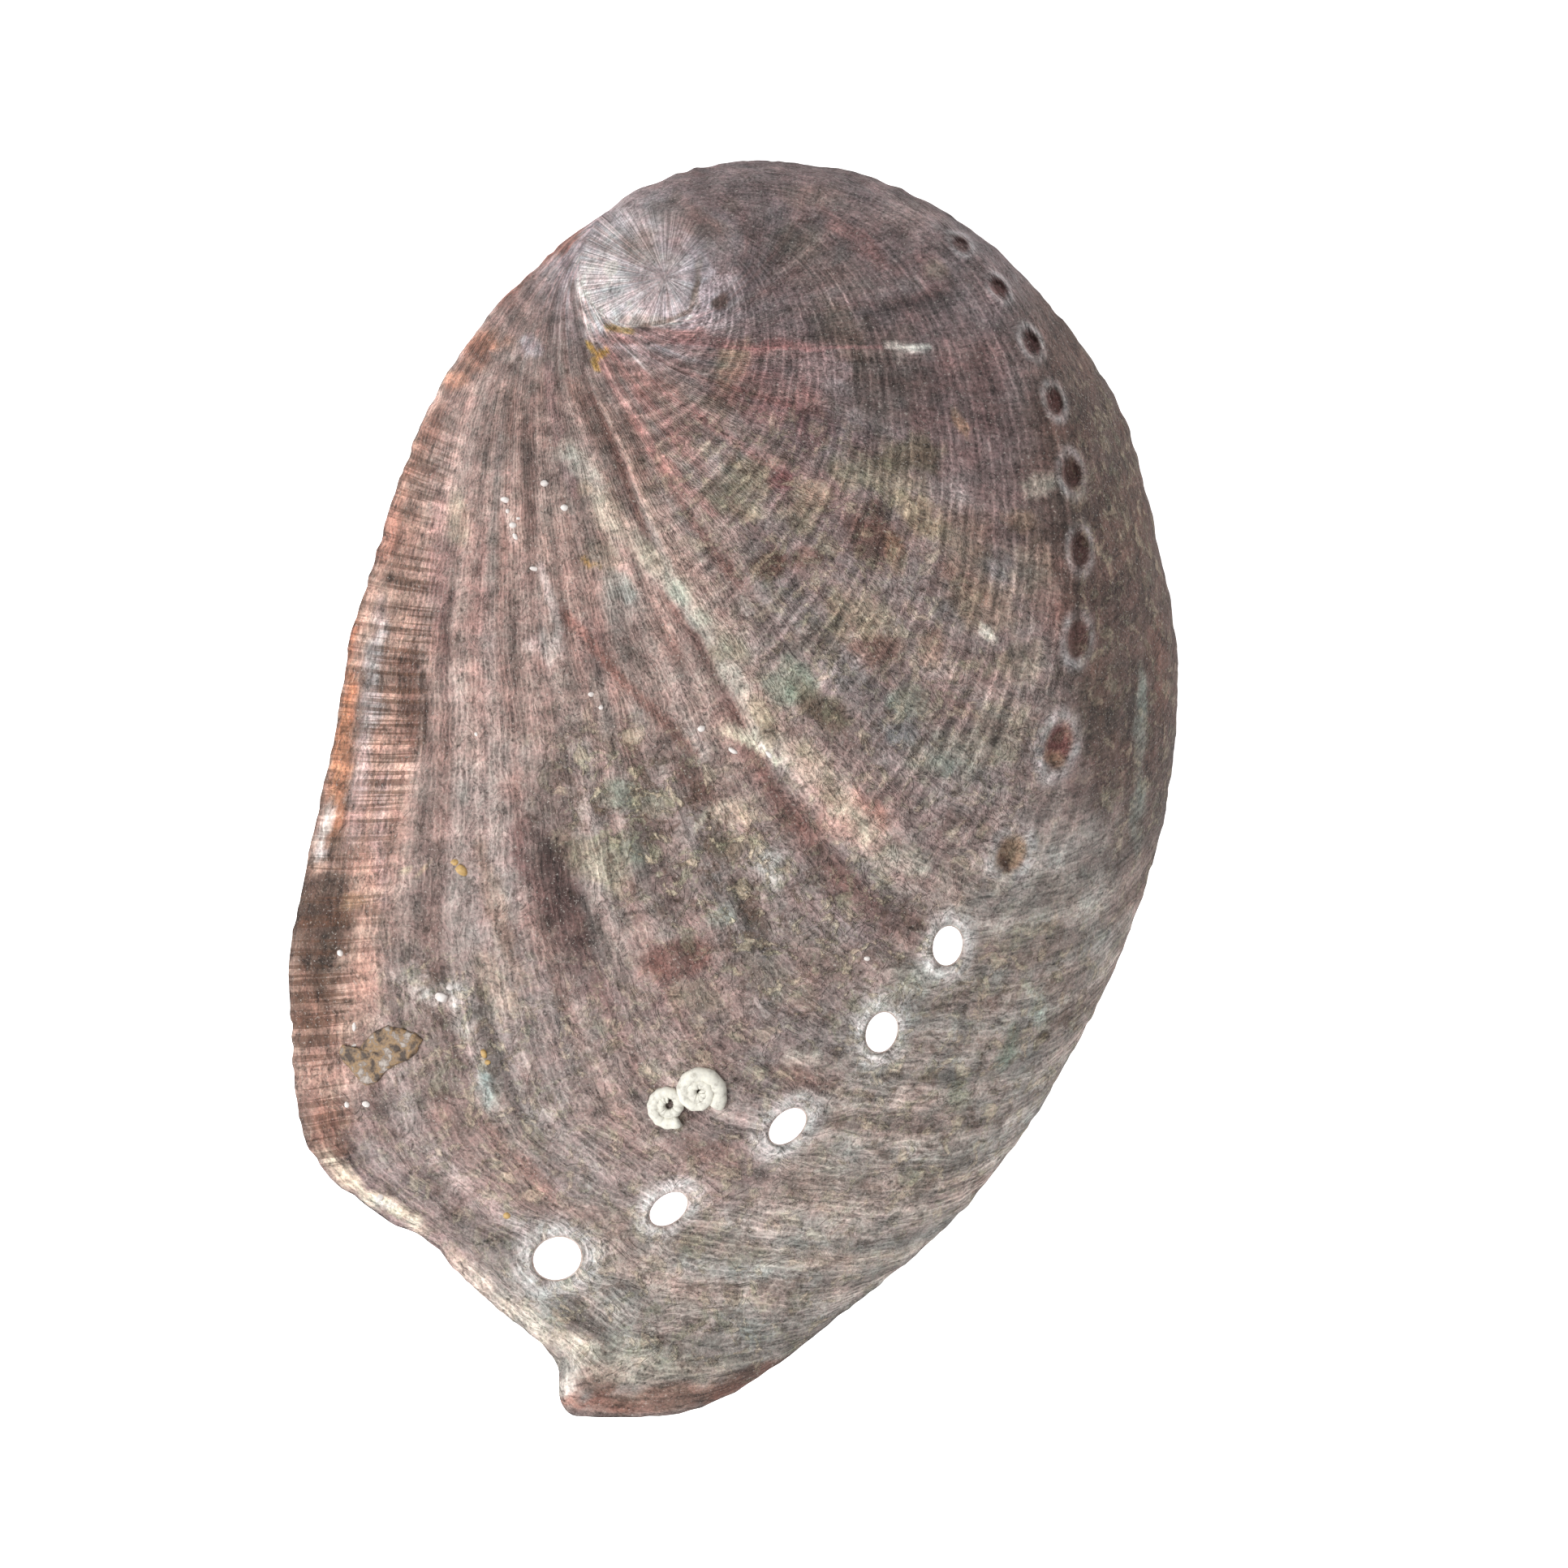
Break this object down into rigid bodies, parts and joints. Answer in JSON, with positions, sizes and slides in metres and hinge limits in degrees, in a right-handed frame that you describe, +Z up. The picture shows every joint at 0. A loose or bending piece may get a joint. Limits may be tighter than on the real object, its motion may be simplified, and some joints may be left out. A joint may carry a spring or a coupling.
{
  "type": "abalone shell",
  "caption": "Weathered ear-shaped abalone shell, low spire at one end, pores along one side and a hollow underside.",
  "frame": {"origin": "centre of the outline's box, on the plane that the shell's margin rests on", "axes": "+Z up out of the back, +Y along the shell towards the spire end, +X towards the row of pores"},
  "size_m": [0.0636, 0.0898, 0.0191],
  "materials": {
    "shell": "matt, chalky and worn outside, smooth and pearly inside"
  },
  "bodies": {
    "root": {"shell": "shell"}
  },
  "joints": []
}
